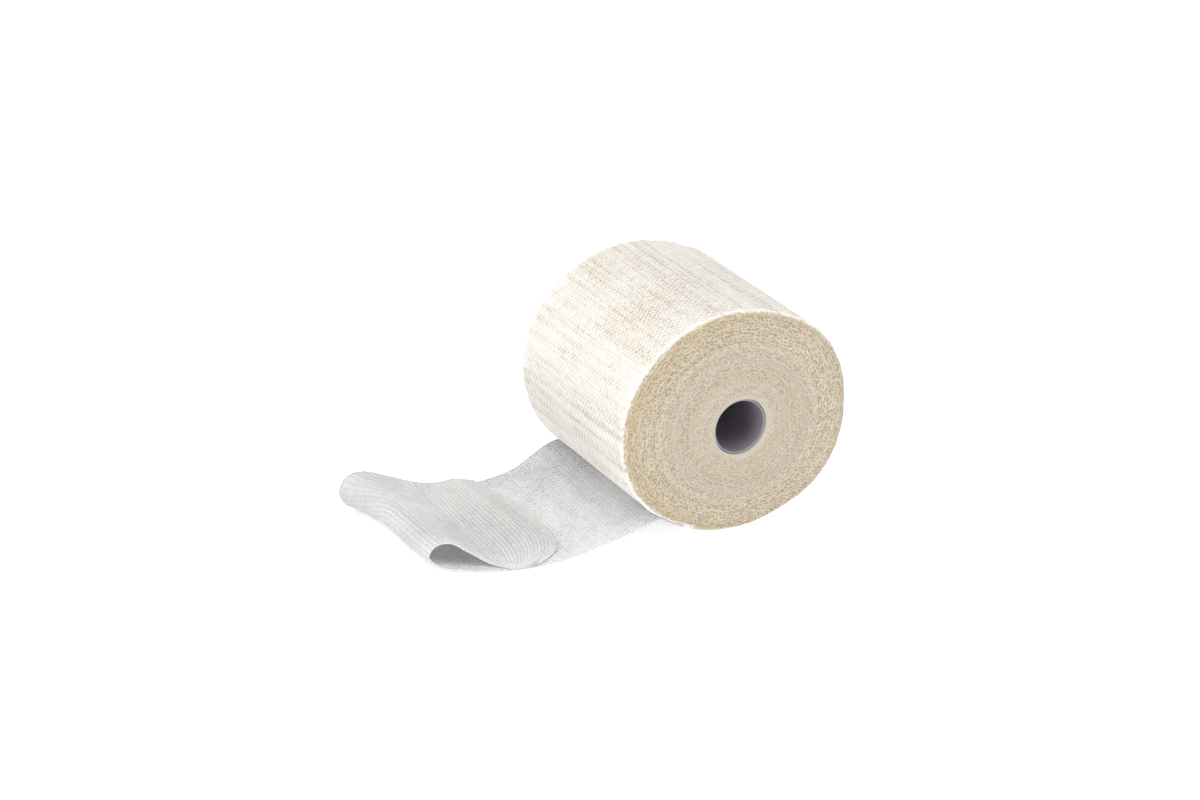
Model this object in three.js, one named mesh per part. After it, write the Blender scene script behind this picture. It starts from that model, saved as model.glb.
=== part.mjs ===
// Elastic bandage roll: a knitted bandage wound on a thin plastic core. It lies on its side, with its
// loose end drawn out over the surface and folded back on itself. Millimetres, +Z up. The roll's axis
// runs along Y, one end face looks towards -Y, and the loose end leaves towards -X. The origin is the
// middle of the flat spot on which the roll rests.
import * as THREE from "three";
import { mergeVertices } from "three/addons/utils/BufferGeometryUtils.js";

// Driving dimensions
const BANDAGE_WIDTH = 100;
const ROLL_RADIUS = 55;
const CENTRE_HEIGHT = 52.5; // a little less than the radius below it, which leaves a flat spot
const CORE_RADIUS = 13.1;
const CORE_WALL = 0.9;
const CORE_SHIFT = { x: 3.3, z: -3.0 }; // the turns are slacker on one side, so the core sits off centre
const CORE_SETBACK = 2.0; // of the tube's ends behind the roll's end faces
const CLOTH = 1.2; // thickness of one layer
const GAP = 0.3; // between neighbouring pieces
const TAPER = 0.9; // by which the radius grows from the front end of the roll to its back end

// Turn of the roll
const ROLL_SEGMENTS = 96;
const LOOSE_START = degrees(247.5); // where the last turn ends as a step in the skin, near the bottom
const STEP_CLEARANCE = degrees(360 / ROLL_SEGMENTS + 1.2); // from that step to the start of the loose end
const PEEL_ANGLE = degrees(229); // where the loose end lifts off the roll
const LIP_FADE = degrees(45); // the stretch over which the last turn's step runs out into the roll
const LAST_TURN_STEP = CLOTH + GAP;

// How finely the other curved forms are cut
const CORE_SEGMENTS = 64;
const STEPS_PER_SECTION = 4;
const STEPS_ACROSS = 12;

const HALF_WIDTH = BANDAGE_WIDTH / 2;
const CORE_CENTRE = new THREE.Vector2(CORE_SHIFT.x, CENTRE_HEIGHT + CORE_SHIFT.z);

// Out-of-round form of the wound turns at even angles round the roll, from +X over the top. Swell is how
// far the skin stands out of the nominal radius.
const OUT_OF_ROUND = [
  { angle: 0, swell: 3.4 },
  { angle: 20, swell: 3.3 },
  { angle: 40, swell: 1.8 },
  { angle: 60, swell: -1.0 },
  { angle: 80, swell: -1.8 },
  { angle: 100, swell: -1.2 },
  { angle: 120, swell: -0.2 },
  { angle: 140, swell: 0.9 },
  { angle: 160, swell: 2.0 },
  { angle: 180, swell: 2.0 },
  { angle: 200, swell: 1.3 },
  { angle: 220, swell: -0.2 },
  { angle: 240, swell: -2.7 },
  { angle: 260, swell: -3.2 },
  { angle: 280, swell: -1.9 },
  { angle: 300, swell: -0.2 },
  { angle: 320, swell: 3.0 },
  { angle: 340, swell: 4.0 },
];

// Relief of an end face from the core (reach 0) to the skin (reach 1). Rise is how far the turns stand
// out of the face, and uneven is how much of it comes and goes round the roll.
const FACE_RELIEF = [
  { reach: 0.0, rise: -1.0, uneven: 0.0 },
  { reach: 0.04, rise: 0.0, uneven: 0.1 },
  { reach: 0.13, rise: 0.3, uneven: 0.2 },
  { reach: 0.24, rise: -0.4, uneven: 0.3 },
  { reach: 0.38, rise: 0.2, uneven: 0.3 },
  { reach: 0.53, rise: -0.3, uneven: 0.4 },
  { reach: 0.6, rise: 0.1, uneven: 0.3 },
  { reach: 0.655, rise: -0.6, uneven: 0.6 },
  { reach: 0.72, rise: 0.1, uneven: 0.4 },
  { reach: 0.83, rise: 0.1, uneven: 0.5 },
  { reach: 0.93, rise: -0.2, uneven: 0.3 },
  { reach: 0.978, rise: -0.8, uneven: 0.2 },
  { reach: 1.0, rise: -2.2, uneven: 0.0 },
];
const BODY_STATIONS = [-0.6, -0.2, 0.2, 0.6]; // shares of the half width, along the skin

// Sections across the loose end, from where it lifts off the roll to its cut end. Each row holds the
// middle of the strip and its front and back edges. A bow of 1 spreads an edge's difference evenly from
// the middle, and a higher one keeps it close to that edge.
const SECTIONS = [
  { midX: -37.2, midZ: 11.3, frontX: -38.4, frontY: -47.6, frontZ: 12.0,
    backX: -38.4, backY: 49.2, backZ: 12.5, frontBow: 1.4, backBow: 1.4 },
  { midX: -45.2, midZ: 7.9, frontX: -45.8, frontY: -46.2, frontZ: 9.2,
    backX: -44.9, backY: 49.4, backZ: 11.0, frontBow: 1.4, backBow: 1.4 },
  { midX: -54.4, midZ: 4.5, frontX: -54.6, frontY: -45.2, frontZ: 6.4,
    backX: -53.3, backY: 49.0, backZ: 6.9, frontBow: 1.4, backBow: 1.4 },
  { midX: -66.0, midZ: 1.7, frontX: -66.0, frontY: -44.6, frontZ: 3.9,
    backX: -63.5, backY: 48.0, backZ: 2.6, frontBow: 1.4, backBow: 1.4 },
  { midX: -84.0, midZ: 0.6, frontX: -84.0, frontY: -44.2, frontZ: 1.2,
    backX: -82.0, backY: 46.8, backZ: 0.6, frontBow: 2.0, backBow: 2.0 },
  { midX: -108.0, midZ: 0.6, frontX: -107.0, frontY: -41.6, frontZ: 0.9,
    backX: -108.0, backY: 46.5, backZ: 0.6, frontBow: 3.0, backBow: 2.0 },
  { midX: -129.0, midZ: 0.6, frontX: -126.0, frontY: -36.2, frontZ: 2.2,
    backX: -136.0, backY: 47.0, backZ: 0.7, frontBow: 3.0, backBow: 2.8 },
  { midX: -138.6, midZ: 2.6, frontX: -137.5, frontY: -31.6, frontZ: 4.4,
    backX: -147.2, backY: 47.6, backZ: 3.2, frontBow: 2.0, backBow: 2.8 },
  { midX: -141.4, midZ: 7.4, frontX: -141.4, frontY: -29.0, frontZ: 9.0,
    backX: -151.0, backY: 48.0, backZ: 10.0, frontBow: 2.0, backBow: 2.8 },
  { midX: -138.6, midZ: 12.4, frontX: -138.0, frontY: -28.6, frontZ: 13.4,
    backX: -147.4, backY: 48.0, backZ: 17.0, frontBow: 2.0, backBow: 2.6 },
  { midX: -132.0, midZ: 13.3, frontX: -131.0, frontY: -29.2, frontZ: 13.8,
    backX: -139.5, backY: 48.0, backZ: 17.9, frontBow: 2.0, backBow: 2.2 },
  { midX: -124.0, midZ: 9.2, frontX: -123.5, frontY: -31.2, frontZ: 8.9,
    backX: -126.0, backY: 48.0, backZ: 12.4, frontBow: 2.0, backBow: 1.8 },
  { midX: -114.5, midZ: 3.9, frontX: -114.0, frontY: -37.0, frontZ: 3.0,
    backX: -111.5, backY: 47.5, backZ: 6.4, frontBow: 3.0, backBow: 1.4 },
  { midX: -102.5, midZ: 4.0, frontX: -107.0, frontY: -43.2, frontZ: 2.4,
    backX: -102.0, backY: 47.0, backZ: 4.8, frontBow: 4.0, backBow: 1.4 },
  { midX: -91.0, midZ: 5.0, frontX: -101.5, frontY: -44.4, frontZ: 2.4,
    backX: -93.5, backY: 46.8, backZ: 4.8, frontBow: 4.5, backBow: 1.4 },
  { midX: -82.0, midZ: 3.6, frontX: -98.5, frontY: -44.6, frontZ: 2.4,
    backX: -88.0, backY: 46.6, backZ: 3.2, frontBow: 4.8, backBow: 1.2 },
  { midX: -76.0, midZ: 2.2, frontX: -96.5, frontY: -44.5, frontZ: 2.3,
    backX: -84.6, backY: 46.4, backZ: 2.2, frontBow: 5.0, backBow: 1.1 },
];

function degrees(angle) {
  return THREE.MathUtils.degToRad(angle);
}

// Radius of the roll's skin at an angle round it (0 at +X, a quarter turn at +Z) and a place along Y.
function skinRadius(angle, y) {
  const rows = OUT_OF_ROUND.length;
  const place = THREE.MathUtils.euclideanModulo((angle / (2 * Math.PI)) * rows, rows);
  const row = Math.floor(place);
  const [before, from, to, after] = [-1, 0, 1, 2].map((k) => OUT_OF_ROUND[(row + k + rows) % rows].swell);
  return ROLL_RADIUS + smoothBetween(before, from, to, after, place - row) + (TAPER * y) / BANDAGE_WIDTH;
}

// The value a share of the way between two rows of a table, on a smooth curve through their neighbours.
function smoothBetween(before, from, to, after, share) {
  const bend = 2 * before - 5 * from + 4 * to - after;
  const twist = 3 * (from - to) + after - before;
  return from + 0.5 * share * (to - before + share * (bend + share * twist));
}

// Height of the last turn's step over the turn below it, from where that turn parts as the loose end.
function lastTurnLip(angle) {
  const past = THREE.MathUtils.euclideanModulo(angle - LOOSE_START, 2 * Math.PI);
  return LAST_TURN_STEP * (1 - THREE.MathUtils.smoothstep(past, 0, LIP_FADE));
}

function skinPoint(angle, y, lift = 0) {
  const radius = skinRadius(angle, y) + lift;
  return new THREE.Vector3(radius * Math.cos(angle), y, CENTRE_HEIGHT + radius * Math.sin(angle));
}

// Joins doubled points and drops the faces that collapse with them, which leaves one closed surface.
function closedSurface(geometry) {
  geometry.deleteAttribute("normal");
  geometry.deleteAttribute("uv");
  const merged = mergeVertices(geometry, 1e-4);
  const corners = merged.index.array;
  const kept = [];
  for (let i = 0; i < corners.length; i += 3) {
    const [a, b, c] = corners.slice(i, i + 3);
    if (a !== b && b !== c && c !== a) kept.push(a, b, c);
  }
  merged.setIndex(kept);
  merged.computeVertexNormals();
  return merged;
}

// Section of the wound roll as nominal radius and place along Y, once round: out over the front face,
// along the skin, and back in over the back face.
function rollSection() {
  const nominal = (reach) => CORE_RADIUS + GAP + reach * (ROLL_RADIUS - CORE_RADIUS - GAP);
  const front = FACE_RELIEF.map((row) => new THREE.Vector2(nominal(row.reach), -HALF_WIDTH - row.rise));
  const skin = BODY_STATIONS.map((share) => new THREE.Vector2(nominal(1), share * HALF_WIDTH));
  const back = FACE_RELIEF.map((row) => new THREE.Vector2(nominal(row.reach), HALF_WIDTH + row.rise));
  return [...front, ...skin, ...back.reverse(), front[0].clone()];
}

// How much the face stands out of or sinks below its relief at a place on it, from slack and tight turns.
function faceUnevenness(reach, angle) {
  const nearest = FACE_RELIEF.reduce((best, row) =>
    Math.abs(row.reach - reach) < Math.abs(best.reach - reach) ? row : best,
  );
  return nearest.uneven * (0.6 * Math.cos(angle - 0.4 + 3 * reach) + 0.4 * Math.sin(3 * angle + 9 * reach));
}

function roll() {
  const geometry = new THREE.LatheGeometry(rollSection(), ROLL_SEGMENTS);
  const place = geometry.getAttribute("position");
  const bore = CORE_RADIUS + GAP;
  for (let i = 0; i < place.count; i += 1) {
    const [x, y, z] = [place.getX(i), place.getY(i), place.getZ(i)];
    const angle = Math.atan2(z, x);
    const reach = (Math.hypot(x, z) - bore) / (ROLL_RADIUS - bore);
    const inner = new THREE.Vector2(Math.cos(angle), Math.sin(angle)).multiplyScalar(bore).add(CORE_CENTRE);
    const outer = skinPoint(angle, y, lastTurnLip(angle));
    const onFace = Math.abs(y) > HALF_WIDTH - 2;
    const swell = onFace ? faceUnevenness(reach, angle) : 0;
    place.setXYZ(
      i,
      THREE.MathUtils.lerp(inner.x, outer.x, reach),
      y + Math.sign(y) * swell,
      Math.max(THREE.MathUtils.lerp(inner.y, outer.z, reach), 0),
    );
  }
  return closedSurface(geometry);
}

function coreTube() {
  const end = HALF_WIDTH - CORE_SETBACK;
  const inside = CORE_RADIUS - CORE_WALL;
  const section = [
    new THREE.Vector2(inside, -end),
    new THREE.Vector2(CORE_RADIUS, -end),
    new THREE.Vector2(CORE_RADIUS, end),
    new THREE.Vector2(inside, end),
    new THREE.Vector2(inside, -end),
  ];
  return closedSurface(new THREE.LatheGeometry(section, CORE_SEGMENTS));
}

// A point of one section of the loose end, at a share of the way from its front edge to its back edge.
function sectionPoint(row, share) {
  const fromMiddle = Math.abs(share - 0.5) * 2;
  const atFront = share < 0.5;
  const pull = fromMiddle ** (atFront ? row.frontBow : row.backBow);
  return new THREE.Vector3(
    THREE.MathUtils.lerp(row.midX, atFront ? row.frontX : row.backX, pull),
    THREE.MathUtils.lerp(row.frontY, row.backY, share),
    THREE.MathUtils.lerp(row.midZ, atFront ? row.frontZ : row.backZ, pull),
  );
}

// The stretch that still clings to the underside of the roll, as points of the strip's middle surface.
function clingingPoints(share) {
  const first = SECTIONS[0];
  const y = THREE.MathUtils.lerp(first.frontY, first.backY, share);
  const start = LOOSE_START - STEP_CLEARANCE;
  return [0, 1 / 3, 2 / 3, 1].map((step) =>
    skinPoint(THREE.MathUtils.lerp(start, PEEL_ANGLE, step), y, GAP + CLOTH / 2),
  );
}

// The strip's middle surface along one line from the roll to the cut end.
function lineAlong(share) {
  const points = [...clingingPoints(share), ...SECTIONS.map((row) => sectionPoint(row, share))];
  return new THREE.CatmullRomCurve3(points, false, "centripetal");
}

function looseEnd() {
  const shares = Array.from({ length: STEPS_ACROSS + 1 }, (_, k) => {
    const even = k / STEPS_ACROSS;
    return 0.5 * even + 0.25 * (1 - Math.cos(Math.PI * even));
  });
  const lines = shares.map(lineAlong);
  const steps = (lines[0].points.length - 1) * STEPS_PER_SECTION;
  const middle = Array.from({ length: steps + 1 }, (_, i) => lines.map((line) => line.getPoint(i / steps)));
  const clampTo = (value, most) => Math.min(Math.max(value, 0), most);
  const at = (i, k) => middle[clampTo(i, steps)][clampTo(k, STEPS_ACROSS)];
  const side = (i, k, sign) => {
    const along = at(i + 1, k).clone().sub(at(i - 1, k));
    const across = at(i, k + 1).clone().sub(at(i, k - 1));
    const normal = along.cross(across).normalize();
    const point = at(i, k).clone().addScaledVector(normal, (sign * CLOTH) / 2);
    point.z = Math.max(point.z, 0);
    return point;
  };
  const rings = middle.map((row, i) => {
    const upper = row.map((_, k) => side(i, k, 1));
    const lower = row.map((_, k) => side(i, k, -1));
    return [...upper, ...lower.reverse()];
  });
  return skinOver([foldFlat(rings[0]), ...rings, foldFlat(rings[steps])]);
}

// The same ring with its two sides brought together on their middle, which closes an end.
function foldFlat(ring) {
  return ring.map((point, k) => point.clone().lerp(ring[ring.length - 1 - k], 0.5));
}

function skinOver(rings) {
  const count = rings[0].length;
  const corners = [];
  for (let r = 0; r + 1 < rings.length; r += 1) {
    for (let p = 0; p < count; p += 1) {
      const here = r * count + p;
      const next = r * count + ((p + 1) % count);
      corners.push(here, next + count, next, here, here + count, next + count);
    }
  }
  const geometry = new THREE.BufferGeometry().setFromPoints(rings.flat());
  geometry.setIndex(corners);
  return closedSurface(geometry);
}

function namedMesh(name, geometry, material) {
  const mesh = new THREE.Mesh(geometry, material);
  mesh.name = name;
  return mesh;
}

const woundCloth = new THREE.MeshStandardMaterial({ color: 0xece3d0, roughness: 0.95, metalness: 0 });
const looseCloth = new THREE.MeshStandardMaterial({ color: 0xe6e4e0, roughness: 0.95, metalness: 0 });
const corePlastic = new THREE.MeshStandardMaterial({ color: 0xc9c3cf, roughness: 0.4, metalness: 0 });

const group = new THREE.Group();
group.add(namedMesh("roll", roll(), woundCloth));
group.add(namedMesh("loose_end", looseEnd(), looseCloth));
const core = namedMesh("core_tube", coreTube(), corePlastic);
core.position.set(CORE_CENTRE.x, 0, CORE_CENTRE.y);
group.add(core);

export default group;
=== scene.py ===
# Elastic bandage roll: the looks of the wound roll, its core tube and its loose end. Metres, +Z up. The
# roll's axis runs along Y, its shown end face looks towards -Y, and the loose end leaves towards -X.
import bmesh
import bpy
import math
import numpy as np
from mathutils import Matrix, Vector


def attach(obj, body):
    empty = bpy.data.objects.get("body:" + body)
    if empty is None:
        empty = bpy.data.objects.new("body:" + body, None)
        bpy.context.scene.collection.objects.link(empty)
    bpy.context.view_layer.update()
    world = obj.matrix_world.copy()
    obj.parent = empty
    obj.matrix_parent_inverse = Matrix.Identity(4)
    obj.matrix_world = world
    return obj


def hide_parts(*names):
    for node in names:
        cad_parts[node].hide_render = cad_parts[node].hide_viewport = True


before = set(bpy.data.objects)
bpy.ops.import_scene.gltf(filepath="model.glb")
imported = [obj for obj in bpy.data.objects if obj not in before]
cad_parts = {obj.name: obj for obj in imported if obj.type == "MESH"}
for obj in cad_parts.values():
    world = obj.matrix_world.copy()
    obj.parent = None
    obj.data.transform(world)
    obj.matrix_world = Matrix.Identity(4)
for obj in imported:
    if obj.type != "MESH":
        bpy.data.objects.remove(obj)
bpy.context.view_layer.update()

# Sizes of the roll, the same as its solids have, in millimetres
MM = 0.001
HALF_WIDTH = 50.0
ROLL_RADIUS = 55.0
CENTRE_HEIGHT = 52.5
CORE_RADIUS = 13.1
CORE_WALL = 0.9
CORE_SETBACK = 2.0
GAP = 0.3
BORE_RADIUS = CORE_RADIUS + GAP
CORE_X = 3.3
CORE_Z = 49.5
CLOTH = 1.2
TAPER = 0.9
LOOSE_START = math.radians(247.5)
STEP_CLEARANCE = math.radians(4.95)
PEEL_ANGLE = math.radians(229.0)
LIP_FADE = math.radians(45.0)
LAST_TURN_STEP = CLOTH + GAP

# How far the skin stands out of the nominal radius, at even angles round the roll from +X over the top
SWELL = [3.4, 3.3, 1.8, -1.0, -1.8, -1.2, -0.2, 0.9, 2.0, 2.0, 1.3, -0.2, -2.7, -3.2, -1.9, -0.2, 3.0, 4.0]

# Relief of an end face from the core (reach 0) to the skin (reach 1): rise out of the face, and how much
# of it comes and goes round the roll
FACE_RELIEF = np.array([
    # reach, rise, uneven
    [0.00, -1.0, 0.0],
    [0.04, 0.0, 0.1],
    [0.13, 0.3, 0.2],
    [0.24, -0.4, 0.3],
    [0.38, 0.2, 0.3],
    [0.53, -0.3, 0.4],
    [0.60, 0.1, 0.3],
    [0.655, -0.6, 0.6],
    [0.72, 0.1, 0.4],
    [0.83, 0.1, 0.5],
    [0.93, -0.2, 0.3],
    [0.978, -0.8, 0.2],
    [1.00, -2.2, 0.0],
])
RIM_DROP = 2.2

# Sections across the loose end, from where it lifts off the roll to its cut end: the middle of the strip
# and its front and back edges. A bow of 1 spreads an edge's difference evenly from the middle.
SECTIONS = np.array([
    # mid x, mid z, front x, y, z, back x, y, z, front bow, back bow
    [-37.2, 11.3, -38.4, -47.6, 12.0, -38.4, 49.2, 12.5, 1.4, 1.4],
    [-45.2, 7.9, -45.8, -46.2, 9.2, -44.9, 49.4, 11.0, 1.4, 1.4],
    [-54.4, 4.5, -54.6, -45.2, 6.4, -53.3, 49.0, 6.9, 1.4, 1.4],
    [-66.0, 1.7, -66.0, -44.6, 3.9, -63.5, 48.0, 2.6, 1.4, 1.4],
    [-84.0, 0.6, -84.0, -44.2, 1.2, -82.0, 46.8, 0.6, 2.0, 2.0],
    [-108.0, 0.6, -107.0, -41.6, 0.9, -108.0, 46.5, 0.6, 3.0, 2.0],
    [-129.0, 0.6, -126.0, -36.2, 2.2, -136.0, 47.0, 0.7, 3.0, 2.8],
    [-138.6, 2.6, -137.5, -31.6, 4.4, -147.2, 47.6, 3.2, 2.0, 2.8],
    [-141.4, 7.4, -141.4, -29.0, 9.0, -151.0, 48.0, 10.0, 2.0, 2.8],
    [-138.6, 12.4, -138.0, -28.6, 13.4, -147.4, 48.0, 17.0, 2.0, 2.6],
    [-132.0, 13.3, -131.0, -29.2, 13.8, -139.5, 48.0, 17.9, 2.0, 2.2],
    [-124.0, 9.2, -123.5, -31.2, 8.9, -126.0, 48.0, 12.4, 2.0, 1.8],
    [-114.5, 3.9, -114.0, -37.0, 3.0, -111.5, 47.5, 6.4, 3.0, 1.4],
    [-102.5, 4.0, -107.0, -43.2, 2.4, -102.0, 47.0, 4.8, 4.0, 1.4],
    [-91.0, 5.0, -101.5, -44.4, 2.4, -93.5, 46.8, 4.8, 4.5, 1.4],
    [-82.0, 3.6, -98.5, -44.6, 2.4, -88.0, 46.6, 3.2, 4.8, 1.2],
    [-76.0, 2.2, -96.5, -44.5, 2.3, -84.6, 46.4, 2.2, 5.0, 1.1],
])

# The skin's knit, in millimetres
RIBS_ROUND = 181  # ribs once round the skin
COLUMN_PITCH = 2.5  # between stitches along a rib
SKIN_RIB_HEIGHT = 0.11
STREAK_HEIGHT = 0.07  # of slack ribs over tight ones
PUCKER_HEIGHT = 0.03
RIM_PUCKER_HEIGHT = 0.16  # added near the rims
RIM_LENGTH = 3.0  # of skin past the straight body, over each rim
RIM_SHARE = 0.05  # the same stretch, as a share of the way from the core to the skin
TUCK_REACH = 0.94  # the hidden inner side of the last turn
TUCK_SETBACK = 4.0  # of that inner side from each end
PAINTED_LIGHT_ANGLE = math.radians(190.0)  # where the skin starts to be painted whiter: painted light on its shaded underside, up to the loose end
OPEN_KNIT_ANGLE = math.radians(112.0)  # the middle of a patch of open knit
OPEN_KNIT_Y = -14.0
OPEN_KNIT_ARC = 0.5  # how far it spreads round the roll, in radians
OPEN_KNIT_LENGTH = 30.0  # and along it

# The edges of the wound turns, in millimetres
ROW_PITCH = 1.45
LOOP_PITCH = 1.6
FACE_REACH = 0.972  # where they end, just under the last turn
MOST_TURNS = 64  # turns with chances of their own
MOST_LOOPS = 512  # loops in a turn with chances of their own
LONG_HOLLOW = 0.74  # size of a hollow between loops, each way
SHORT_HOLLOW = 0.42
LUMP_HEIGHT = 0.12
GROOVE_REACH = 0.655  # the middle of the deepest ring groove

# The loose end's knit, in millimetres
LOOSE_RIB_PITCH = 2.05
LOOSE_RIB_HEIGHT = 0.17
LOOSE_THICKNESS = 0.9
SCALLOP = 0.10  # how far each rib stands out of the selvedges
FLOOR_GAP = 0.02
FOLD_SHARE = 0.62  # of the length, at the fold
FOLD_RIB_BEND = 5.0  # how many ribs the pattern runs on at the far corner of the fold

# Seeds of the uneven fields
STREAK_SEED = 3
PUCKER_SEED = 5
FRONT_LOOPS_SEED = 11
BACK_LOOPS_SEED = 29
LUMP_SEED = 17
RING_SEED = 61
LOOSE_RIB_SEED = 41
LOOSE_SLACK_SEED = 43

# How finely the meshes are cut
STEPS_PER_RIB = 4
RIM_STATIONS = 9
TUCK_STATIONS = 5
SKIN_STATIONS = 116
FACE_STATIONS = 122
FACE_STEPS = 744
ACROSS_STEPS = 92
CORE_STEPS = 192
SECTION_STEPS = 40  # from one section of the loose end to the next
SAME_PLACE = 0.001  # points nearer than this are one point
LIP_BEVEL = 0.3

# Grain of the finishes, in cycles a metre
SWAY_GRAIN = 90.0
FINE_SWAY_GRAIN = 420.0
FIBRE_GRAIN = 2300.0
CLUMP_GRAIN = 760.0
AREA_GRAIN = 26.0
SHADE_GRAIN = 38.0
PATCH_GRAIN = 45.0
MARK_GRAIN = 900.0
TINT_GRAIN = 40.0

# Depth of the finest relief, in metres
KNIT_BUMP = 0.0006
EDGE_BUMP = 0.0007
MARK_BUMP = 0.00002

# Colours
SKIN_YARN = (0.725, 0.712, 0.705, 1.0)
SKIN_SHADE = (0.705, 0.688, 0.667, 1.0)
# The knit's hollow colours are painted shade in its pits, furrows and streaks
SKIN_HOLLOW_SHADE = (0.48, 0.41, 0.315, 1.0)
# Painted light: the skin's shaded underside near the loose end is painted whiter
SKIN_PAINTED_LIGHT = (0.93, 0.92, 0.905, 1.0)
LOOSE_YARN = (0.95, 0.957, 0.965, 1.0)
LOOSE_SHADE = (0.93, 0.94, 0.95, 1.0)
# Painted shade in the loose knit's pits and furrows
LOOSE_HOLLOW_SHADE = (0.62, 0.63, 0.645, 1.0)
LOOSE_TURNED = (0.945, 0.93, 0.933, 1.0)
# Painted shade on the fold's far corner; the same colour darkens the loose end's edges
LOOSE_LOBE_SHADE_AND_EDGES = (0.66, 0.645, 0.655, 1.0)
# A painted highlight on the fibre tips
FIBRE_HIGHLIGHT = (0.90, 0.89, 0.87, 1.0)
# The turn edges' colours, darker than the skin's yarn: partly the cloth's own yellower tone, partly painted
# shade between the wound turns. The hollow colours are painted shade, and the loops' highlight colour is
# painted light.
RIM_YARN = (0.43, 0.40, 0.34, 1.0)
EDGE_YARN = (0.41, 0.375, 0.32, 1.0)
EDGE_YARN_TIGHT = (0.365, 0.33, 0.276, 1.0)
EDGE_YARN_PATCH = (0.36, 0.305, 0.235, 1.0)
EDGE_YARN_WARM = (0.37, 0.30, 0.19, 1.0)
EDGE_HOLLOW_SHADE = (0.30, 0.235, 0.14, 1.0)
EDGE_HOLLOW_SHADE_TIGHT = (0.275, 0.227, 0.157, 1.0)
EDGE_HOLLOW_SHADE_PATCH = (0.25, 0.20, 0.13, 1.0)
EDGE_PAINTED_GLINT = (0.53, 0.515, 0.48, 1.0)
EDGE_PALE = (0.45, 0.42, 0.36, 1.0)
PLASTIC = (0.21, 0.19, 0.22, 1.0)
PLASTIC_SHADE = (0.18, 0.16, 0.185, 1.0)
FLOOR = (0.92, 0.92, 0.92, 1.0)

# The studio: each light's name, place, aim, size, power in watts and colour
LIGHTS = [
    ("key", (-0.35, -0.5, 1.84), (-0.04, 0.0, 0.05), (1.2, 1.2), 28.0, (1.0, 0.98, 0.93)),
    ("low fill", (-1.9, -0.6, 0.22), (-0.03, 0.0, 0.03), (0.8, 0.3), 12.0, (1.0, 0.985, 0.96)),
    ("front fill", (0.4, -1.6, 0.22), (-0.08, 0.0, 0.02), (0.8, 0.3), 13.0, (1.0, 1.0, 1.0)),
]
WORLD_STRENGTH = 0.6
FLOOR_ROUGHNESS = 0.9
FLOOR_GLOW = 0.42
FLOOR_HALF_SIZE = 6.0

# Camera: its place and the way it looks, from the rims, the bore and the sides of the roll
CAMERA_PLACE = Vector((-613.99, -1103.31, 598.34)) * MM
CAMERA_AZIMUTH = math.radians(-27.4)
CAMERA_ELEVATION = math.radians(23.7)
CAMERA_LENS = 90.0
SENSOR_WIDTH = 36.0
FARTHEST_SEEN = 50.0


def smooth(value):
    """Rises smoothly from 0 to 1 as value does."""
    t = np.clip(value, 0.0, 1.0)
    return t * t * (3.0 - 2.0 * t)


def rising(value, start, length):
    """Rises smoothly from 0 to 1 as value goes from start on over the length."""
    return smooth((value - start) / length)


def waves(x, y, seed, count, low, high):
    """A smooth uneven field over x and y, from about -1 to 1, made of sine waves of seeded directions."""
    rng = np.random.default_rng(seed)
    total = np.zeros(np.broadcast(x, y).shape)
    for _ in range(count):
        turn = rng.uniform(0.0, 2.0 * math.pi)
        pace = rng.uniform(low, high)
        phase = rng.uniform(0.0, 2.0 * math.pi)
        total += np.sin(pace * (x * math.cos(turn) + y * math.sin(turn)) + phase)
    return total / math.sqrt(count)


def waves_round(angle, y, seed, count, fewest, most):
    """The same over the skin, where each wave comes a whole number of times round the roll."""
    rng = np.random.default_rng(seed)
    total = np.zeros(angle.shape)
    for _ in range(count):
        times = rng.integers(fewest, most)
        climb = rng.uniform(-1.0, 1.0) * times / ROLL_RADIUS
        total += np.sin(times * angle + climb * y + rng.uniform(0.0, 2.0 * math.pi))
    return total / math.sqrt(count)


def skin_radius(angle, y):
    """Radius of the roll's skin at an angle round it and a place along Y."""
    swell = np.array(SWELL)
    rows = len(swell)
    place = np.mod(angle / (2.0 * math.pi) * rows, rows)
    row = np.floor(place).astype(int)
    share = place - row
    before, start, end, after = (swell[(row + k) % rows] for k in (-1, 0, 1, 2))
    bend = 2.0 * before - 5.0 * start + 4.0 * end - after
    twist = 3.0 * (start - end) + after - before
    between = start + 0.5 * share * (end - before + share * (bend + share * twist))
    return ROLL_RADIUS + between + TAPER * y / (2.0 * HALF_WIDTH)


def last_turn_lip(angle):
    """Height of the last turn's step over the turn below it."""
    past = np.mod(angle - LOOSE_START, 2.0 * math.pi)
    return LAST_TURN_STEP * (1.0 - smooth(past / LIP_FADE))


def face_rise(reach, angle):
    """How far an end face stands out at a place on it, from its relief and its slack and tight turns."""
    rows = FACE_RELIEF
    at = np.clip(np.searchsorted(rows[:, 0], reach, side="right") - 1, 0, len(rows) - 2)
    share = smooth((reach - rows[at, 0]) / (rows[at + 1, 0] - rows[at, 0]))
    rise = rows[at, 1] + share * (rows[at + 1, 1] - rows[at, 1])
    uneven = rows[at, 2] + share * (rows[at + 1, 2] - rows[at, 2])
    once_round = np.cos(angle - 0.4 + 3.0 * reach)
    thrice_round = np.sin(3.0 * angle + 9.0 * reach)
    return rise + uneven * (0.6 * once_round + 0.4 * thrice_round)


def on_roll(reach, angle, y):
    """Points of the roll, in millimetres, from the core (reach 0) to the skin (reach 1)."""
    outer = skin_radius(angle, y) + last_turn_lip(angle)
    inner_x = CORE_X + BORE_RADIUS * np.cos(angle)
    inner_z = CORE_Z + BORE_RADIUS * np.sin(angle)
    outer_x = outer * np.cos(angle)
    outer_z = CENTRE_HEIGHT + outer * np.sin(angle)
    x = inner_x + reach * (outer_x - inner_x)
    z = inner_z + reach * (outer_z - inner_z)
    return np.stack([x, y, np.maximum(z, 0.0)], axis=-1)


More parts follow.
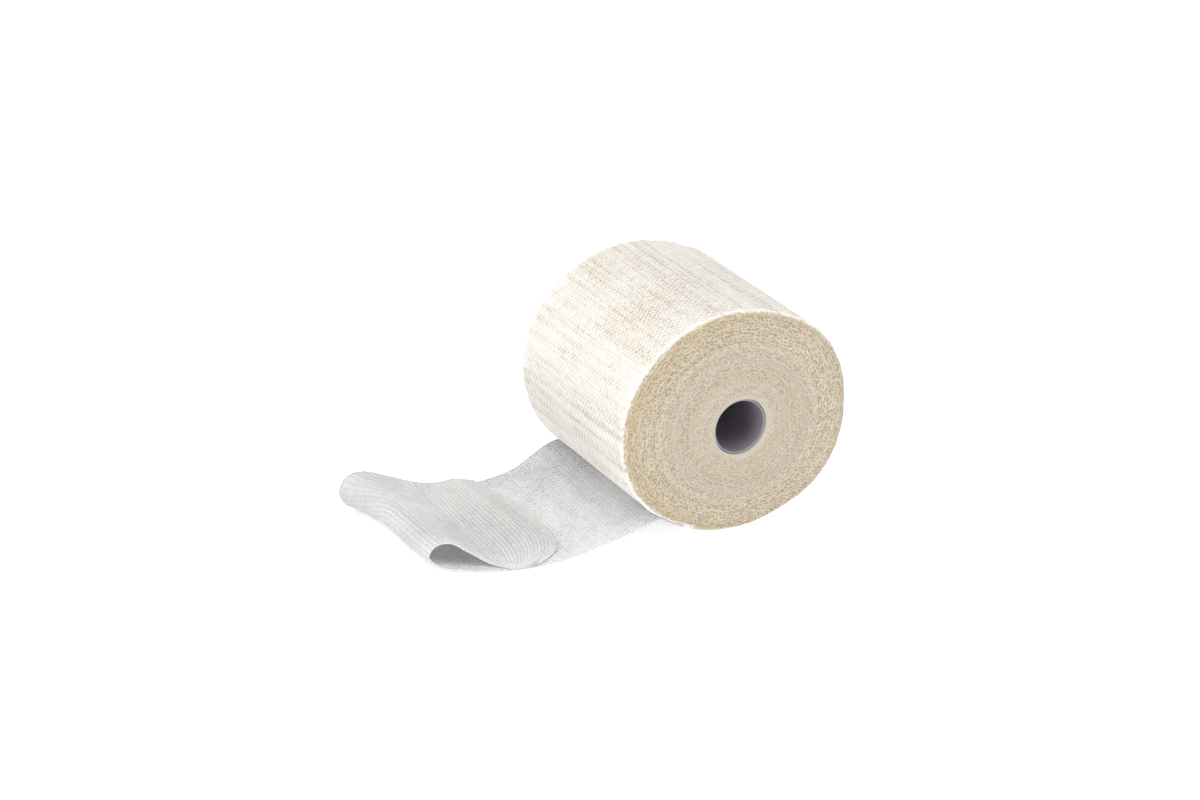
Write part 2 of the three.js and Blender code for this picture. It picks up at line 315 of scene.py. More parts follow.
def rolled_grid(name, section, steps):
    """A grid to be rolled up round Y: its columns follow a closed section of (reach, y) points and its rows
    go once round. Returns the piece with the reach, the y and the angle of each point."""
    bm = bmesh.new()
    bmesh.ops.create_grid(bm, x_segments=len(section), y_segments=steps, size=0.5)
    piece = as_object(name, bm)
    grid = points_of(piece) * MM + 0.5
    closed = np.array(section + section[:1])
    column = np.rint(grid[:, 0] * len(section)).astype(int)
    return piece, closed[column, 0], closed[column, 1], grid[:, 1] * 2.0 * math.pi


def is_on_face(y):
    return np.abs(np.abs(y) - HALF_WIDTH) < SAME_PLACE


def close_seams(piece):
    """Joins the doubled points where a rolled grid meets itself, and turns its faces outwards."""
    bm = bmesh.new()
    bm.from_mesh(piece.data)
    bmesh.ops.remove_doubles(bm, verts=bm.verts, dist=SAME_PLACE * MM)
    bmesh.ops.recalc_face_normals(bm, faces=bm.faces)
    bm.to_mesh(piece.data)
    bm.free()


def as_object(name, bm):
    """A smooth-shaded object in the scene, made from the bmesh."""
    mesh = bpy.data.meshes.new(name)
    bm.to_mesh(mesh)
    bm.free()
    mesh.polygons.foreach_set("use_smooth", [True] * len(mesh.polygons))
    piece = bpy.data.objects.new(name, mesh)
    bpy.context.scene.collection.objects.link(piece)
    return piece


def points_of(piece):
    """The mesh's points as an array of rows x, y, z, in millimetres."""
    flat = np.zeros(len(piece.data.vertices) * 3)
    piece.data.vertices.foreach_get("co", flat)
    return flat.reshape(-1, 3) / MM


def set_points(piece, points):
    """Moves the mesh's points to rows of x, y, z, in millimetres."""
    piece.data.vertices.foreach_set("co", (points * MM).ravel())
    piece.data.update()


def set_attribute(piece, name, values):
    """A value at each point, for the finishes to read."""
    made = piece.data.attributes.new(name, "FLOAT", "POINT")
    made.data.foreach_set("value", np.asarray(values, dtype=np.float32))


def set_knit_map(piece, u, v):
    """A UV map in ribs along U and columns along V."""
    loops = np.zeros(len(piece.data.loops), dtype=np.int64)
    piece.data.loops.foreach_get("vertex_index", loops)
    knit = piece.data.uv_layers.new(name="knit")
    knit.data.foreach_set("uv", np.stack([u[loops], v[loops]], axis=-1).ravel())


# Shader helpers


class Finish:
    """A material with short ways to add and join its nodes."""

    def __init__(self, name):
        self.material = bpy.data.materials.new(name)
        self.material.use_nodes = True
        self.tree = self.material.node_tree
        self.tree.nodes.clear()
        self.shader = self.tree.nodes.new("ShaderNodeBsdfPrincipled")
        self.out = self.tree.nodes.new("ShaderNodeOutputMaterial")
        self.tree.links.new(self.shader.outputs[0], self.out.inputs[0])

    def put(self, socket, value):
        """Joins another node's output to the socket, or sets the socket's own value."""
        if isinstance(value, bpy.types.NodeSocket):
            self.tree.links.new(value, socket)
        else:
            socket.default_value = value

    def math(self, operation, a, b=0.0, c=0.0, clamp=False):
        node = self.tree.nodes.new("ShaderNodeMath")
        node.operation = operation
        node.use_clamp = clamp
        for socket, value in zip(node.inputs, (a, b, c)):
            self.put(socket, value)
        return node.outputs[0]

    def spread(self, value, low, high, to_low=0.0, to_high=1.0):
        """Goes smoothly from to_low to to_high as value goes from low to high."""
        node = self.tree.nodes.new("ShaderNodeMapRange")
        node.interpolation_type = "SMOOTHSTEP"
        for socket, number in zip(node.inputs, (value, low, high, to_low, to_high)):
            self.put(socket, number)
        return node.outputs[0]

    def object_place(self, scale=(1.0, 1.0, 1.0)):
        place = self.tree.nodes.new("ShaderNodeTexCoord").outputs["Object"]
        node = self.tree.nodes.new("ShaderNodeMapping")
        node.inputs["Scale"].default_value = scale
        self.put(node.inputs["Vector"], place)
        return node.outputs[0]

    def noise(self, vector, scale, detail=2.0, roughness=0.5):
        node = self.tree.nodes.new("ShaderNodeTexNoise")
        node.inputs["Scale"].default_value = scale
        node.inputs["Detail"].default_value = detail
        node.inputs["Roughness"].default_value = roughness
        self.put(node.inputs["Vector"], vector)
        return node.outputs["Fac"]

    def knit_map(self):
        """The knit map's place in ribs and in columns."""
        node = self.tree.nodes.new("ShaderNodeUVMap")
        node.uv_map = "knit"
        split = self.tree.nodes.new("ShaderNodeSeparateXYZ")
        self.put(split.inputs[0], node.outputs[0])
        return split.outputs[0], split.outputs[1]

    def vector(self, x, y, z=0.0):
        node = self.tree.nodes.new("ShaderNodeCombineXYZ")
        for socket, value in zip(node.inputs, (x, y, z)):
            self.put(socket, value)
        return node.outputs[0]

    def chance(self, vector):
        """A value from 0 to 1 that differs from place to place."""
        node = self.tree.nodes.new("ShaderNodeTexWhiteNoise")
        node.noise_dimensions = "2D"
        self.put(node.inputs["Vector"], vector)
        return node.outputs["Value"]

    def attribute(self, name):
        node = self.tree.nodes.new("ShaderNodeAttribute")
        node.attribute_name = name
        return node.outputs["Fac"]

    def blend(self, share, first, second):
        node = self.tree.nodes.new("ShaderNodeMix")
        node.data_type = "RGBA"
        self.put(node.inputs[0], share)
        self.put(node.inputs[6], first)
        self.put(node.inputs[7], second)
        return node.outputs[2]

    def let_light_through(self, share, colour):
        """Mixes in a share of light that passes through the cloth."""
        through = self.tree.nodes.new("ShaderNodeBsdfTranslucent")
        self.put(through.inputs["Color"], colour)
        mix = self.tree.nodes.new("ShaderNodeMixShader")
        mix.inputs[0].default_value = share
        self.put(mix.inputs[1], self.shader.outputs[0])
        self.put(mix.inputs[2], through.outputs[0])
        self.put(self.out.inputs[0], mix.outputs[0])

    def bump(self, height, distance, strength):
        node = self.tree.nodes.new("ShaderNodeBump")
        node.inputs["Strength"].default_value = strength
        node.inputs["Distance"].default_value = distance
        self.put(node.inputs["Height"], height)
        return node.outputs[0]

    def cloth_surface(self, colour, roughness, specular, relief, depth):
        """A dull, slightly fuzzy surface, as knitted yarn has."""
        self.put(self.shader.inputs["Base Color"], colour)
        self.put(self.shader.inputs["Roughness"], roughness)
        self.shader.inputs["Specular IOR Level"].default_value = specular
        self.shader.inputs["Sheen Weight"].default_value = 0.15
        self.shader.inputs["Sheen Roughness"].default_value = 0.5
        self.put(self.shader.inputs["Normal"], self.bump(relief, depth, 0.8))


def knit_finish(
    name, yarn, shade, hollow, pit_shade, streak_shade, furrow_shade, turned_and_painted_light, lobe_shade_and_edges=None, rim=None, thinness=0.0
):
    """Ribbed knit: ribs along U, and along each rib a row of stitches with small hollows between them,
    staggered from rib to rib. The pits, the furrows between ribs and the streaks of slack ribs are darkened
    towards hollow as painted shade. The next colour is that of a folded-back stretch of the loose end, and of
    a stretch of the skin painted whiter as painted light; then a colour of painted shade for a fold's far
    corner, which also darkens the loose end's edges; rim gives the two colours of a turn's edge, blended in
    over the rim partly as painted shade; and thinness is the share of light that it lets through."""
    f = Finish(name)
    u, v = f.knit_map()
    place = f.object_place()
    slack = f.attribute("slack")
    sway = f.math("SUBTRACT", f.noise(place, SWAY_GRAIN, 2.0), 0.5)
    sway_fine = f.math("SUBTRACT", f.noise(place, FINE_SWAY_GRAIN, 2.0), 0.5)
    u_bent = f.math("ADD", f.math("MULTIPLY_ADD", sway, 0.5, u), f.math("MULTIPLY", sway_fine, 0.6))
    v_bent = f.math("ADD", f.math("MULTIPLY_ADD", sway, 1.2, v), f.math("MULTIPLY", sway_fine, 0.8))
    row = f.math("ROUND", u_bent)
    off_row = f.math("SUBTRACT", u_bent, row)
    step = f.math("MULTIPLY_ADD", row, 0.5, v_bent)
    stitch = f.math("FLOOR", step)
    off_stitch = f.math("SUBTRACT", f.math("FRACT", step), 0.5)
    luck = f.chance(f.vector(row, stitch))
    across = f.math("POWER", f.math("MULTIPLY", off_row, 1.5), 2.0)
    along = f.math("POWER", f.math("MULTIPLY", off_stitch, 2.4), 2.0)
    pit = f.spread(f.math("SUBTRACT", 1.0, f.math("ADD", across, along)), 0.0, 0.8)
    pit = f.math("MULTIPLY", pit, f.math("MULTIPLY_ADD", luck, 0.6, 0.6))
    rib = f.math("MULTIPLY_ADD", f.math("COSINE", f.math("MULTIPLY", u_bent, 2.0 * math.pi)), 0.5, 0.5)
    fibres = f.noise(f.object_place((1.0, 0.5, 1.0)), FIBRE_GRAIN, 3.0, 0.65)
    # Tight and slack ribs show as streaks along the whole width, darkened with painted shade
    streak = f.noise(f.vector(f.math("MULTIPLY", u, 0.62), f.math("MULTIPLY", v, 0.02)), 1.0, 3.0, 0.65)
    streak = f.spread(streak, 0.42, 0.68)
    area = f.spread(f.noise(place, AREA_GRAIN, 2.0), 0.3, 0.7, 0.6, 1.1)
    open_share = f.math("MULTIPLY", f.math("MULTIPLY_ADD", streak, 0.35, slack), area)
    relief = f.math("SUBTRACT", f.math("MULTIPLY", rib, 0.25), f.math("MULTIPLY", pit, open_share))
    relief = f.math("MULTIPLY_ADD", fibres, 0.3, relief)
    colour = f.blend(f.spread(f.noise(place, SHADE_GRAIN, 3.0), 0.3, 0.7), yarn, shade)
    colour = f.blend(f.attribute("turned_and_painted_light"), colour, turned_and_painted_light)
    if lobe_shade_and_edges:
        colour = f.blend(f.attribute("lobe_shade_and_edges"), colour, lobe_shade_and_edges)
    # Painted highlight: lighter fibre tips where the fibre noise is high
    colour = f.blend(f.math("MULTIPLY", f.spread(fibres, 0.4, 0.7), 0.3), colour, FIBRE_HIGHLIGHT)
    # The furrows between ribs are darkened with painted shade, twice as much on the loose end's folded-back
    # stretch and on the skin's stretch painted whiter
    furrow_shade_here = f.math("MULTIPLY_ADD", f.attribute("turned_and_painted_light"), furrow_shade, furrow_shade)
    furrow = f.math("MULTIPLY", f.math("SUBTRACT", 1.0, rib), furrow_shade_here)
    lines = f.math("MULTIPLY_ADD", streak, streak_shade, furrow)
    # Painted shade: the pits, streaks and furrows pull the colour towards the hollow colour
    painted_shade = f.math("MULTIPLY_ADD", f.math("MULTIPLY", pit, open_share), pit_shade, lines, clamp=True)
    colour = f.blend(painted_shade, colour, hollow)
    # Over the rim the skin's colour blends into the turn edges' darker colours: painted shade where the cloth
    # rounds over, with the edges' own yellower tone
    if rim:
        at_rim = f.attribute("rim")
        clumps = f.noise(place, CLUMP_GRAIN, 3.0, 0.6)
        off_clump = f.math("SUBTRACT", clumps, 0.46)
        loops = f.math("MULTIPLY_ADD", off_clump, 1.2, f.attribute("hollow"), clamp=True)
        edge = f.blend(loops, rim[0], rim[1])
        rim_tone_and_shade = f.math("MULTIPLY_ADD", f.math("SUBTRACT", clumps, 0.5), 0.9, at_rim)
        colour = f.blend(f.spread(rim_tone_and_shade, 0.2, 0.85), colour, edge)
        relief = f.math("MULTIPLY_ADD", f.math("MULTIPLY", clumps, at_rim), 0.8, relief)
    f.cloth_surface(colour, f.spread(fibres, 0.2, 0.8, 0.82, 0.98), 0.25, relief, KNIT_BUMP)
    if thinness:
        f.let_light_through(thinness, colour)
    return f.material


def edge_finish(name):
    """The edges of the wound turns: pale loops over yellow-brown hollows, yellower towards the skin. The
    hollows are darkened as painted shade, the loops are kept darker than the skin's yarn, partly the cloth's
    own yellower tone and partly painted shade between the wound turns, and the loops' tops carry a painted
    highlight.
    """
    f = Finish(name)
    depth = f.attribute("hollow")
    warmth = f.attribute("warmth")
    place = f.object_place()
    fibres = f.noise(place, FIBRE_GRAIN, 3.0, 0.65)
    clumps = f.noise(place, CLUMP_GRAIN, 3.0, 0.6)
    patch = f.spread(f.noise(place, PATCH_GRAIN, 3.0), 0.35, 0.7)
    tight = f.attribute("tight")
    yarn = f.blend(tight, EDGE_YARN, EDGE_YARN_TIGHT)
    yarn = f.blend(f.math("MULTIPLY", patch, 0.25), yarn, EDGE_YARN_PATCH)
    yarn = f.blend(f.math("MULTIPLY", warmth, 0.85), yarn, EDGE_YARN_WARM)
    hollow = f.blend(tight, EDGE_HOLLOW_SHADE, EDGE_HOLLOW_SHADE_TIGHT)
    hollow = f.blend(f.math("MULTIPLY", patch, 0.3), hollow, EDGE_HOLLOW_SHADE_PATCH)
    # Painted shade in the hollows between the loops
    pit = f.math("MULTIPLY_ADD", f.math("SUBTRACT", clumps, 0.46), 1.3, depth, clamp=True)
    colour = f.blend(pit, yarn, hollow)
    # Painted highlight on the loops' tops, weaker in the hollows
    painted_glint = f.math("MULTIPLY", f.spread(fibres, 0.5, 0.72), f.math("MULTIPLY_ADD", pit, -0.4, 0.5))
    colour = f.blend(painted_glint, colour, EDGE_PAINTED_GLINT)
    colour = f.blend(f.attribute("pale"), colour, EDGE_PALE)
    relief = f.math("ADD", f.math("MULTIPLY", clumps, 0.7), f.math("MULTIPLY", fibres, 0.3))
    f.cloth_surface(colour, f.spread(fibres, 0.2, 0.8, 0.8, 0.98), 0.2, relief, EDGE_BUMP)
    return f.material


def plastic_finish(name):
    """Lilac-grey drawn plastic with faint marks along the tube."""
    f = Finish(name)
    marks = f.noise(f.object_place((1.0, 0.06, 1.0)), MARK_GRAIN, 2.0)
    tint = f.noise(f.object_place(), TINT_GRAIN, 2.0)
    colour = f.blend(f.spread(tint, 0.3, 0.7), PLASTIC, PLASTIC_SHADE)
    f.put(f.shader.inputs["Base Color"], colour)
    f.put(f.shader.inputs["Roughness"], f.spread(marks, 0.3, 0.7, 0.30, 0.36))
    f.put(f.shader.inputs["Normal"], f.bump(marks, MARK_BUMP, 0.3))
    return f.material


def plain_finish(name, colour, roughness, glow):
    """An even colour, with a white glow of its own."""
    f = Finish(name)
    f.shader.inputs["Base Color"].default_value = colour
    f.shader.inputs["Roughness"].default_value = roughness
    f.shader.inputs["Emission Color"].default_value = (1.0, 1.0, 1.0, 1.0)
    f.shader.inputs["Emission Strength"].default_value = glow
    return f.material


# Pieces


def outer_turn():
    """The last turn of the roll: a shell over the whole skin, with its ribs, streaks and soft rims."""
    rim_start = 1.0 - RIM_SHARE
    rim = [(reach, -HALF_WIDTH) for reach in np.linspace(rim_start, 1.0, RIM_STATIONS)]
    body_end = HALF_WIDTH - RIM_DROP
    body = [(1.0, y) for y in np.linspace(-body_end, body_end, SKIN_STATIONS)[1:-1]]
    tuck_end = HALF_WIDTH - TUCK_SETBACK
    under = [(TUCK_REACH, y) for y in np.linspace(tuck_end, -tuck_end, TUCK_STATIONS)]
    outline = rim + body + [(reach, -y) for reach, y in reversed(rim)] + under
    piece, reach, y, angle = rolled_grid("outer_turn", outline, RIBS_ROUND * STEPS_PER_RIB)
    on_face = is_on_face(y)
    radius = BORE_RADIUS + reach * (ROLL_RADIUS - BORE_RADIUS)
    hollow = loop_hollows(on_roll(reach, angle, y), radius, angle, reach, FRONT_LOOPS_SEED)
    face_y = HALF_WIDTH + face_rise(reach, angle) - 0.3 * hollow
    placed_y = np.where(on_face, np.sign(y) * face_y, y)
    placed = on_roll(reach, angle, placed_y)
    outward = np.stack([np.cos(angle), np.zeros_like(angle), np.sin(angle)], axis=-1)
    ribs = np.cos(angle * RIBS_ROUND)
    streak = waves_round(angle, y * 0.06, STREAK_SEED, 10, 9, 48)
    pucker = waves_round(angle, y, PUCKER_SEED, 10, 12, 40)
    # How far a point is from the middle of the width, along the skin and on over the rim
    along = np.where(on_face, body_end + RIM_LENGTH * (1.0 - reach) / RIM_SHARE, np.abs(y))
    rib_height = SKIN_RIB_HEIGHT * (1.0 - rising(along, 43.0, 5.0))
    near_rim = rising(along, 34.0, 12.0) * (1.0 - rising(along, 47.0, 3.0))
    pucker_height = PUCKER_HEIGHT + RIM_PUCKER_HEIGHT * near_rim
    lift = rib_height * ribs * (0.75 + 0.35 * streak) + STREAK_HEIGHT * streak + pucker_height * pucker
    shown = reach > (TUCK_REACH + rim_start) / 2.0
    placed += outward * (lift * shown * rising(reach, TUCK_REACH, 0.05))[:, None]
    placed[:, 2] = np.maximum(placed[:, 2], 0.0)
    set_points(piece, placed)
    set_knit_map(piece, angle / (2.0 * math.pi) * RIBS_ROUND, np.sign(y) * along / COLUMN_PITCH)
    from_open = ((angle - OPEN_KNIT_ANGLE) / OPEN_KNIT_ARC) ** 2 + ((y - OPEN_KNIT_Y) / OPEN_KNIT_LENGTH) ** 2
    slack = 0.42 + 0.45 * np.exp(-from_open) + 0.08 * streak - 0.25 * rising(along, 44.0, 4.0)
    set_attribute(piece, "slack", slack)
    set_attribute(piece, "rim", rising(along, 47.2, 2.6))
    # Painted light: the skin's underside near the loose end is painted whiter
    set_attribute(piece, "turned_and_painted_light", rising(angle, PAINTED_LIGHT_ANGLE, 0.5) * smooth((LOOSE_START - angle) / 0.2))
    set_attribute(piece, "hollow", hollow)
    close_seams(piece)
    return piece


def turn_edges(name, side):
    """Half of the wound turns, seen as the end face on one side (-1 front, 1 back): every turn's edge is a
    row of knitted loops with hollows between them, laid along a spiral from the core to the skin."""
    face = [(reach, HALF_WIDTH) for reach in np.linspace(0.0, FACE_REACH, FACE_STATIONS)]
    hidden = [(0.95, 44.0), (0.93, 2.0), (0.0, 2.0), (0.0, 30.0)]
    section = [(reach, side * y) for reach, y in face + hidden]
    piece, reach, y, angle = rolled_grid(name, section, FACE_STEPS)
    radius = BORE_RADIUS + reach * (ROLL_RADIUS - BORE_RADIUS)
    on_face = is_on_face(y)
    flat = on_roll(reach, angle, y)
    seed = FRONT_LOOPS_SEED if side < 0 else BACK_LOOPS_SEED
    hollow = loop_hollows(flat, radius, angle, reach, seed)
    lump = waves(flat[:, 0], flat[:, 2], LUMP_SEED + side, 8, 0.25, 1.1)
    dip = np.interp(reach, [0.0, 0.6, 0.75, 1.0], [0.35, 0.4, 0.55, 0.5])
    rise = face_rise(reach, angle) + LUMP_HEIGHT * lump - hollow * dip
    placed_y = np.where(on_face, side * (HALF_WIDTH + rise), y)
    placed = on_roll(reach, angle, placed_y)
    set_points(piece, placed)
    set_attribute(piece, "hollow", hollow)
    leftness = 0.5 - 0.5 * np.cos(angle)
    rim_warmth = 0.9 * rising(reach, 0.9, 0.07) + rising(reach, 0.74, 0.2) * 0.9 * leftness
    groove_warmth = np.exp(-(((reach - GROOVE_REACH) / 0.03) ** 2)) * 0.6 * leftness
    rings = 0.3 * waves(reach * 60.0, angle * 0.5, RING_SEED, 5, 0.4, 1.4)
    warmth = rim_warmth + groove_warmth + np.maximum(rings, 0.0)
    set_attribute(piece, "warmth", np.clip(warmth, 0.0, 1.0))
    set_attribute(piece, "tight", 1.0 - rising(reach, 0.5, 0.16))
    set_attribute(piece, "pale", 0.45 * np.exp(-((reach / 0.035) ** 2)))
    close_seams(piece)
    return piece


def loop_hollows(flat, radius, angle, reach, seed):
    """Depth, from 0 to 1, of the hollows between the loops along the spiral of turn edges."""
    rng = np.random.default_rng(seed)
    bend = 0.35 * waves(flat[:, 0], flat[:, 2], seed + 1, 8, 0.5, 1.6)
    round_once = np.mod(angle, 2.0 * math.pi)
    coil = (radius + bend - BORE_RADIUS) / ROW_PITCH - round_once / (2.0 * math.pi)
    depth = np.zeros(len(angle))
    luck = rng.random((MOST_TURNS, MOST_LOOPS, 5))
    for row_step in (-1, 0, 1):
        turn = np.floor(coil) + row_step
        across = coil - turn - 0.5
        wound = round_once + 2.0 * math.pi * turn
        run = BORE_RADIUS * wound + ROW_PITCH * wound**2 / (4.0 * math.pi)
        place = run / LOOP_PITCH + 0.5 * np.mod(turn, 2.0)
        for loop_step in (-1, 0, 1):
            loop = np.floor(place) + loop_step
            pick = luck[np.mod(turn, MOST_TURNS).astype(int), np.mod(loop, MOST_LOOPS).astype(int)]
            along = (place - loop - 0.5 + 0.5 * (pick[:, 0] - 0.5)) * LOOP_PITCH
            over = (across + 0.5 * (pick[:, 1] - 0.5)) * ROW_PITCH
            slant = 1.3 * (pick[:, 2] - 0.35)
            long_way = along * np.cos(slant) + over * np.sin(slant)
            short_way = over * np.cos(slant) - along * np.sin(slant)
            size = 0.75 + 0.5 * pick[:, 3]
            off_long = long_way / (LONG_HOLLOW * size)
            off_short = short_way / (SHORT_HOLLOW * size)
            bowl = np.exp(-(off_long**2) - off_short**2)
            depth = np.maximum(depth, bowl * (0.6 + 0.5 * pick[:, 4]))
    at_reach = [0.0, 0.05, 0.1, 0.55, 0.7, 0.95, 1.0]
    openness = np.interp(reach, at_reach, [0.1, 0.5, 0.75, 0.8, 1.0, 1.0, 0.7])
    turn_luck = np.interp(coil, np.arange(MOST_TURNS), rng.uniform(0.7, 1.2, MOST_TURNS))
    return smooth((depth - 0.12) / 0.6) * np.clip(openness * turn_luck, 0.0, 1.0)


def curve_points(rows, steps):
    """Points along smooth centripetal curves through the rows of points, with even steps between rows.
    rows has one entry a section, each with a point for every line across."""
    places = []
    for at in range(len(rows) - 1):
        start, end = rows[at], rows[at + 1]
        before = rows[at - 1] if at else 2.0 * start - end
        after = rows[at + 2] if at + 2 < len(rows) else 2.0 * end - start
        spans = ((before, start), (start, end), (end, after))
        first, mid, last = (np.sqrt(np.linalg.norm(b - a, axis=-1, keepdims=True)) for a, b in spans)
        leave = ((start - before) / first - (end - before) / (first + mid) + (end - start) / mid) * mid
        reach = ((end - start) / mid - (after - start) / (mid + last) + (after - end) / last) * mid
        for share in np.arange(steps) / steps:
            cube = 2.0 * start - 2.0 * end + leave + reach
            square = -3.0 * start + 3.0 * end - 2.0 * leave - reach
            places.append(start + share * (leave + share * (square + share * cube)))
    places.append(rows[-1])
    return np.array(places)


def loose_middle(shares):
    """The loose end's middle surface: rows of points at shares of the way across, evenly spaced along."""
    start = LOOSE_START - STEP_CLEARANCE
    edge_y = SECTIONS[0, 3] + shares * (SECTIONS[0, 6] - SECTIONS[0, 3])
    rows = []
    # The stretch that clings to the roll, up to where it lifts off
    for step in (0.0, 1.0 / 3.0, 2.0 / 3.0, 1.0):
        angle = np.full_like(shares, start + step * (PEEL_ANGLE - start))
        radius = skin_radius(angle, edge_y) + GAP + CLOTH / 2.0
        height = CENTRE_HEIGHT + radius * np.sin(angle)
        rows.append(np.stack([radius * np.cos(angle), edge_y, height], axis=-1))
    for mid_x, mid_z, front_x, front_y, front_z, back_x, back_y, back_z, front_bow, back_bow in SECTIONS:
        at_front = shares < 0.5
        pull = np.abs(shares - 0.5) * 2.0
        pull = pull ** np.where(at_front, front_bow, back_bow)
        x = mid_x + pull * (np.where(at_front, front_x, back_x) - mid_x)
        z = mid_z + pull * (np.where(at_front, front_z, back_z) - mid_z)
        rows.append(np.stack([x, front_y + shares * (back_y - front_y), z], axis=-1))
    fine = curve_points(rows, SECTION_STEPS)
    middle = len(shares) // 2
    lengths = np.linalg.norm(np.diff(fine[:, middle], axis=0), axis=-1)
    run = np.concatenate([[0.0], np.cumsum(lengths)])
    ribs = int(run[-1] / LOOSE_RIB_PITCH)
    wanted = np.linspace(0.0, run[-1], ribs * STEPS_PER_RIB + 1)
    lines = range(len(shares))
    even = np.stack([[np.interp(wanted, run, fine[:, line, axis]) for line in lines] for axis in range(3)])
    return np.transpose(even, (2, 1, 0)), wanted / run[-1] * ribs


def loose_end():
    """The loose end as one sheet of knit with ribs across it, laid on the middle surface of its solid."""
    shares = np.linspace(0.0, 1.0, ACROSS_STEPS + 1)
    surface, ribs = loose_middle(shares)
    along = np.gradient(surface, axis=0)
    across = np.gradient(surface, axis=1)
    normal = np.cross(along, across)
    normal /= np.linalg.norm(normal, axis=-1, keepdims=True)
    u = np.repeat(ribs[:, None], len(shares), axis=1)
    v = np.repeat(shares[None, :] * (2.0 * HALF_WIDTH / COLUMN_PITCH), len(ribs), axis=0)
    uneven = 0.8 + 0.3 * waves(u, v * 0.1, LOOSE_RIB_SEED, 6, 0.1, 0.5)
    lift = LOOSE_RIB_HEIGHT * np.cos(2.0 * math.pi * u) * uneven
    edge = np.abs(shares - 0.5) * 2.0
    surface = surface + normal * (lift * (1.0 - rising(edge, 0.92, 0.08)))[..., None]
    scallop = SCALLOP * np.cos(2.0 * math.pi * ribs[:, None]) * rising(edge, 0.94, 0.06)[None, :]
    surface[..., 1] += np.sign(shares - 0.5)[None, :] * scallop
    surface[..., 2] = np.maximum(surface[..., 2], LOOSE_THICKNESS / 2.0 + FLOOR_GAP)
    run = np.linspace(0.0, 1.0, len(ribs))[:, None]
    turned_and_painted_light = smooth((run - FOLD_SHARE + 0.03) / 0.06) * np.ones_like(u)
    # The ribs bend round the far corner, where the fold is fuller; the same share paints shade there
    bent = rising(shares[None, :], 0.45, 0.55) ** 1.5 * np.exp(-(((run - FOLD_SHARE) / 0.13) ** 2))
    u = u + FOLD_RIB_BEND * bent
    bm = bmesh.new()
    bmesh.ops.create_grid(bm, x_segments=len(ribs) - 1, y_segments=ACROSS_STEPS, size=0.5)
    piece = as_object("loose_end_cloth", bm)
    grid = points_of(piece) * MM + 0.5
    row = np.rint(grid[:, 0] * (len(ribs) - 1)).astype(int)
    column = np.rint(grid[:, 1] * ACROSS_STEPS).astype(int)
    set_points(piece, surface[row, column])
    set_knit_map(piece, u[row, column], v[row, column])
    slack = 0.85 - 0.4 * turned_and_painted_light + 0.12 * waves(u * 0.3, v * 0.3, LOOSE_SLACK_SEED, 6, 0.3, 1.2)
    set_attribute(piece, "slack", slack[row, column])
    set_attribute(piece, "turned_and_painted_light", turned_and_painted_light[row, column])
    # Painted shade on the far corner, and a darker band along both edges
    at_edge = 0.8 * rising(edge, 0.975, 0.025)[None, :]
    set_attribute(piece, "lobe_shade_and_edges", np.maximum(bent, at_edge)[row, column])
    shell = piece.modifiers.new("cloth thickness", "SOLIDIFY")
    shell.thickness = LOOSE_THICKNESS * MM
    shell.offset = 0.0
    length = np.linalg.norm(np.diff(surface[:, ACROSS_STEPS // 2], axis=0), axis=-1).sum()
    return piece, length * MM


def core_tube():
    """The thin plastic tube under the first turn, with softened lips."""
    end = HALF_WIDTH - CORE_SETBACK
    inside = CORE_RADIUS - CORE_WALL
    bm = bmesh.new()
    corners = [(inside, -end), (CORE_RADIUS, -end), (CORE_RADIUS, end), (inside, end)]
    points = [bm.verts.new((radius * MM, y * MM, 0.0)) for radius, y in corners]
    edges = [bm.edges.new((a, b)) for a, b in zip(points, points[1:] + points[:1])]
    bmesh.ops.spin(
        bm, geom=points + edges, cent=(0, 0, 0), axis=(0, -1, 0), dvec=(0, 0, 0), angle=2.0 * math.pi,
        steps=CORE_STEPS, use_merge=True,
    )
    bmesh.ops.remove_doubles(bm, verts=bm.verts, dist=SAME_PLACE * MM)
    bmesh.ops.recalc_face_normals(bm, faces=bm.faces)
    # The lips are the sharp edges that run round the tube
    lips = [
        edge for edge in bm.edges
        if abs(edge.verts[0].co.y - edge.verts[1].co.y) < SAME_PLACE * MM and edge.calc_face_angle(0.0) > 1.0
    ]
    bmesh.ops.bevel(
        bm, geom=lips, offset=LIP_BEVEL * MM, segments=3, profile=0.5, affect="EDGES", material=-1,
    )
    bmesh.ops.transform(bm, matrix=Matrix.Translation((CORE_X * MM, 0.0, CORE_Z * MM)), verts=bm.verts)
    return as_object("core_sleeve", bm)


def dress(piece, material, node):
    """Gives a piece its finish, and puts it in the place of its solid."""
    piece.data.materials.append(material)
    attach(piece, "root")
    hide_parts(node)


# The set


def place_camera():
    """The camera at the photo's angle."""
    data = bpy.data.cameras.new("camera")
    data.lens = CAMERA_LENS
    data.sensor_width = SENSOR_WIDTH
    data.clip_end = FARTHEST_SEEN
    camera = bpy.data.objects.new("camera", data)
    bpy.context.scene.collection.objects.link(camera)
    flat = math.cos(CAMERA_ELEVATION)
    looks = Vector((
        -math.sin(CAMERA_AZIMUTH) * flat,
        math.cos(CAMERA_AZIMUTH) * flat,
        -math.sin(CAMERA_ELEVATION),
    ))
    camera.location = CAMERA_PLACE
    camera.rotation_mode = "QUATERNION"
    camera.rotation_quaternion = looks.to_track_quat("-Z", "Y")
    bpy.context.scene.camera = camera


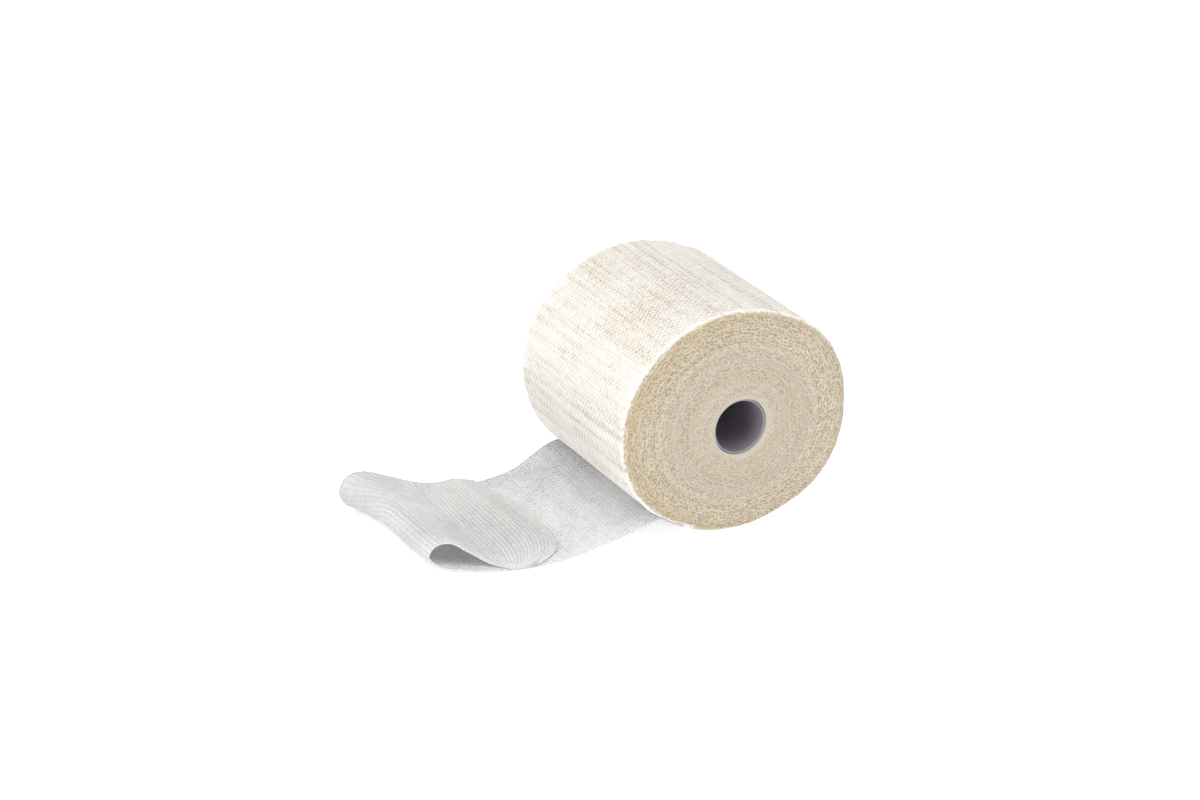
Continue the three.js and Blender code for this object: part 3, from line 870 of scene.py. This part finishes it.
def soft_light(name, place, aim, size, power, colour):
    """A rectangular light that faces its aim."""
    data = bpy.data.lights.new(name, "AREA")
    data.shape = "RECTANGLE"
    data.size, data.size_y = size
    data.energy = power
    data.color = colour
    light = bpy.data.objects.new(name, data)
    bpy.context.scene.collection.objects.link(light)
    light.location = place
    light.rotation_mode = "QUATERNION"
    light.rotation_quaternion = (Vector(aim) - Vector(place)).to_track_quat("-Z", "Y")


def make_set():
    """A plain pale floor under soft studio light."""
    bm = bmesh.new()
    bmesh.ops.create_grid(bm, x_segments=1, y_segments=1, size=FLOOR_HALF_SIZE)
    floor = as_object("floor", bm)
    floor.data.materials.append(plain_finish("pale floor", FLOOR, FLOOR_ROUGHNESS, FLOOR_GLOW))
    world = bpy.data.worlds.new("studio")
    world.use_nodes = True
    background = world.node_tree.nodes["Background"]
    background.inputs["Color"].default_value = (1.0, 1.0, 1.0, 1.0)
    background.inputs["Strength"].default_value = WORLD_STRENGTH
    bpy.context.scene.world = world
    for light in LIGHTS:
        soft_light(*light)
    bpy.context.scene.view_settings.view_transform = "Standard"


place_camera()
make_set()

wound_knit = knit_finish(
    "wound knit", yarn=SKIN_YARN, shade=SKIN_SHADE, hollow=SKIN_HOLLOW_SHADE, pit_shade=1.1, streak_shade=0.19,
    furrow_shade=0.05, turned_and_painted_light=SKIN_PAINTED_LIGHT, rim=(RIM_YARN, EDGE_HOLLOW_SHADE),
)
loose_knit = knit_finish(
    "loose knit", yarn=LOOSE_YARN, shade=LOOSE_SHADE, hollow=LOOSE_HOLLOW_SHADE, pit_shade=0.8, streak_shade=0.04,
    furrow_shade=0.32, turned_and_painted_light=LOOSE_TURNED, lobe_shade_and_edges=LOOSE_LOBE_SHADE_AND_EDGES, thinness=0.4,
)
turn_edge = edge_finish("turn edges")
core_plastic = plastic_finish("core plastic")

skin = outer_turn()
dress(skin, wound_knit, "roll")
front_turns = turn_edges("turn_edges_front", -1)
dress(front_turns, turn_edge, "roll")
back_turns = turn_edges("turn_edges_back", 1)
dress(back_turns, turn_edge, "roll")
sleeve = core_tube()
dress(sleeve, core_plastic, "core_tube")
cloth, cloth_length = loose_end()
dress(cloth, loose_knit, "loose_end")
